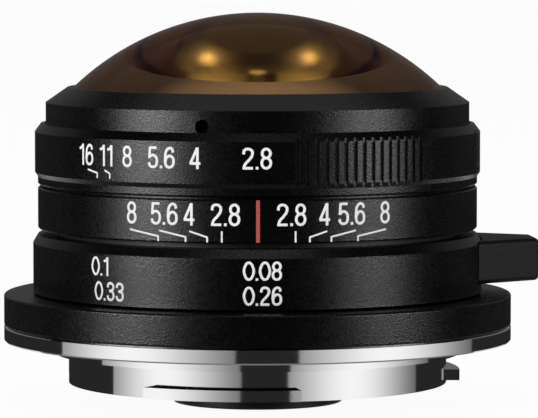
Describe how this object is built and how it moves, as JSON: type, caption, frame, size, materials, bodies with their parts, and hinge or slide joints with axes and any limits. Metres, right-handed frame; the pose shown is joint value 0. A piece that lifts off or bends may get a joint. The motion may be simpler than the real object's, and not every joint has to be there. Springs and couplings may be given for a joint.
{
  "type": "fisheye lens",
  "caption": "Compact circular fisheye camera lens with a domed front glass, click-stop aperture ring, lever focus ring and a chrome bayonet mount.",
  "frame": {"origin": "on the optical axis, in the plane of the flange face that meets the camera", "axes": "+Z along the optical axis to the domed front glass, -Y towards the index line, +X towards the focus lever"},
  "size_m": [0.054, 0.0512, 0.0392],
  "materials": {
    "chrome": "turned and chrome plated",
    "screw_steel": "plain",
    "baffle_black": "matte",
    "black_anodised": "satin black anodised",
    "cell_black": "matte black",
    "thread_brass": "turned",
    "coated_glass": "coated",
    "optical_glass": "coated",
    "blade_black": "matte"
  },
  "bodies": {
    "mount": {"bayonet_mount": "chrome", "mount_screws": "screw_steel", "rear_baffle": "baffle_black", "rear_housing": "black_anodised", "guide_pins": "screw_steel", "focus_keeper": "thread_brass", "focus_stop_pin": "screw_steel"},
    "focus": {"focus_ring": "black_anodised", "focus_lever": "black_anodised", "lever_screws": "screw_steel"},
    "barrel": {"main_barrel": "black_anodised", "helicoid_ring": "cell_black", "helicoid_screws": "screw_steel", "depth_scale_ring": "black_anodised", "scale_screws": "screw_steel", "front_ring": "black_anodised", "front_set_screws": "screw_steel", "front_element": "coated_glass", "front_cell": "cell_black", "second_element": "optical_glass", "second_retainer": "cell_black", "third_spacer": "cell_black", "third_element": "optical_glass", "rear_cell": "cell_black", "rear_cell_screws": "screw_steel", "fourth_element": "optical_glass", "fourth_spacer": "cell_black", "fifth_element": "optical_glass", "sixth_element": "optical_glass", "seventh_spacer": "cell_black", "seventh_element": "optical_glass", "rear_retainer": "cell_black", "iris_base": "blade_black", "iris_keeper": "screw_steel", "click_leaf": "screw_steel"},
    "aperture": {"aperture_ring": "black_anodised", "aperture_pin": "screw_steel", "iris_cam_ring": "blade_black"},
    "click_ball": {"click_ball": "screw_steel"},
    "blade_1": {"iris_blade_1": "blade_black"},
    "blade_2": {"iris_blade_2": "blade_black"},
    "blade_3": {"iris_blade_3": "blade_black"},
    "blade_4": {"iris_blade_4": "blade_black"},
    "blade_5": {"iris_blade_5": "blade_black"},
    "blade_6": {"iris_blade_6": "blade_black"},
    "blade_7": {"iris_blade_7": "blade_black"}
  },
  "joints": [
    {"name": "focus_turn", "type": "hinge", "parent": "mount", "child": "focus", "pos_m": [0, 0, 0.008], "axis": [0, 0, 1], "range_deg": [0, 118]},
    {"name": "barrel_slide", "type": "slide", "parent": "mount", "child": "barrel", "axis": [0, 0, 1], "range_m": [-0.00046, 0]},
    {"name": "aperture_turn", "type": "hinge", "parent": "barrel", "child": "aperture", "pos_m": [0, 0, 0.019], "axis": [0, 0, 1], "range_deg": [0, 46.1]},
    {"name": "click_push", "type": "slide", "parent": "barrel", "child": "click_ball", "axis": [-0.866, 0.5, 0], "range_m": [0, 0.00015]},
    {"name": "blade_1_swing", "type": "hinge", "parent": "barrel", "child": "blade_1", "pos_m": [0.007, 0, 0.0107], "axis": [0, 0, 1], "range_deg": [0, 20.8]},
    {"name": "blade_2_swing", "type": "hinge", "parent": "barrel", "child": "blade_2", "pos_m": [0.00436, 0.00547, 0.0107], "axis": [0, 0, 1], "range_deg": [0, 20.8]},
    {"name": "blade_3_swing", "type": "hinge", "parent": "barrel", "child": "blade_3", "pos_m": [-0.00156, 0.00682, 0.0107], "axis": [0, 0, 1], "range_deg": [0, 20.8]},
    {"name": "blade_4_swing", "type": "hinge", "parent": "barrel", "child": "blade_4", "pos_m": [-0.00631, 0.00304, 0.0107], "axis": [0, 0, 1], "range_deg": [0, 20.8]},
    {"name": "blade_5_swing", "type": "hinge", "parent": "barrel", "child": "blade_5", "pos_m": [-0.00631, -0.00304, 0.0107], "axis": [0, 0, 1], "range_deg": [0, 20.8]},
    {"name": "blade_6_swing", "type": "hinge", "parent": "barrel", "child": "blade_6", "pos_m": [-0.00156, -0.00682, 0.0107], "axis": [0, 0, 1], "range_deg": [0, 20.8]},
    {"name": "blade_7_swing", "type": "hinge", "parent": "barrel", "child": "blade_7", "pos_m": [0.00436, -0.00547, 0.0107], "axis": [0, 0, 1], "range_deg": [0, 20.8]}
  ],
  "couplings": [
    {"joint": "focus_turn", "follows": "barrel_slide", "rad_per_m": -4477},
    {"joint": "blade_1_swing", "follows": "aperture_turn", "ratio": 0.4511},
    {"joint": "blade_2_swing", "follows": "aperture_turn", "ratio": 0.4511},
    {"joint": "blade_3_swing", "follows": "aperture_turn", "ratio": 0.4511},
    {"joint": "blade_4_swing", "follows": "aperture_turn", "ratio": 0.4511},
    {"joint": "blade_5_swing", "follows": "aperture_turn", "ratio": 0.4511},
    {"joint": "blade_6_swing", "follows": "aperture_turn", "ratio": 0.4511},
    {"joint": "blade_7_swing", "follows": "aperture_turn", "ratio": 0.4511}
  ]
}
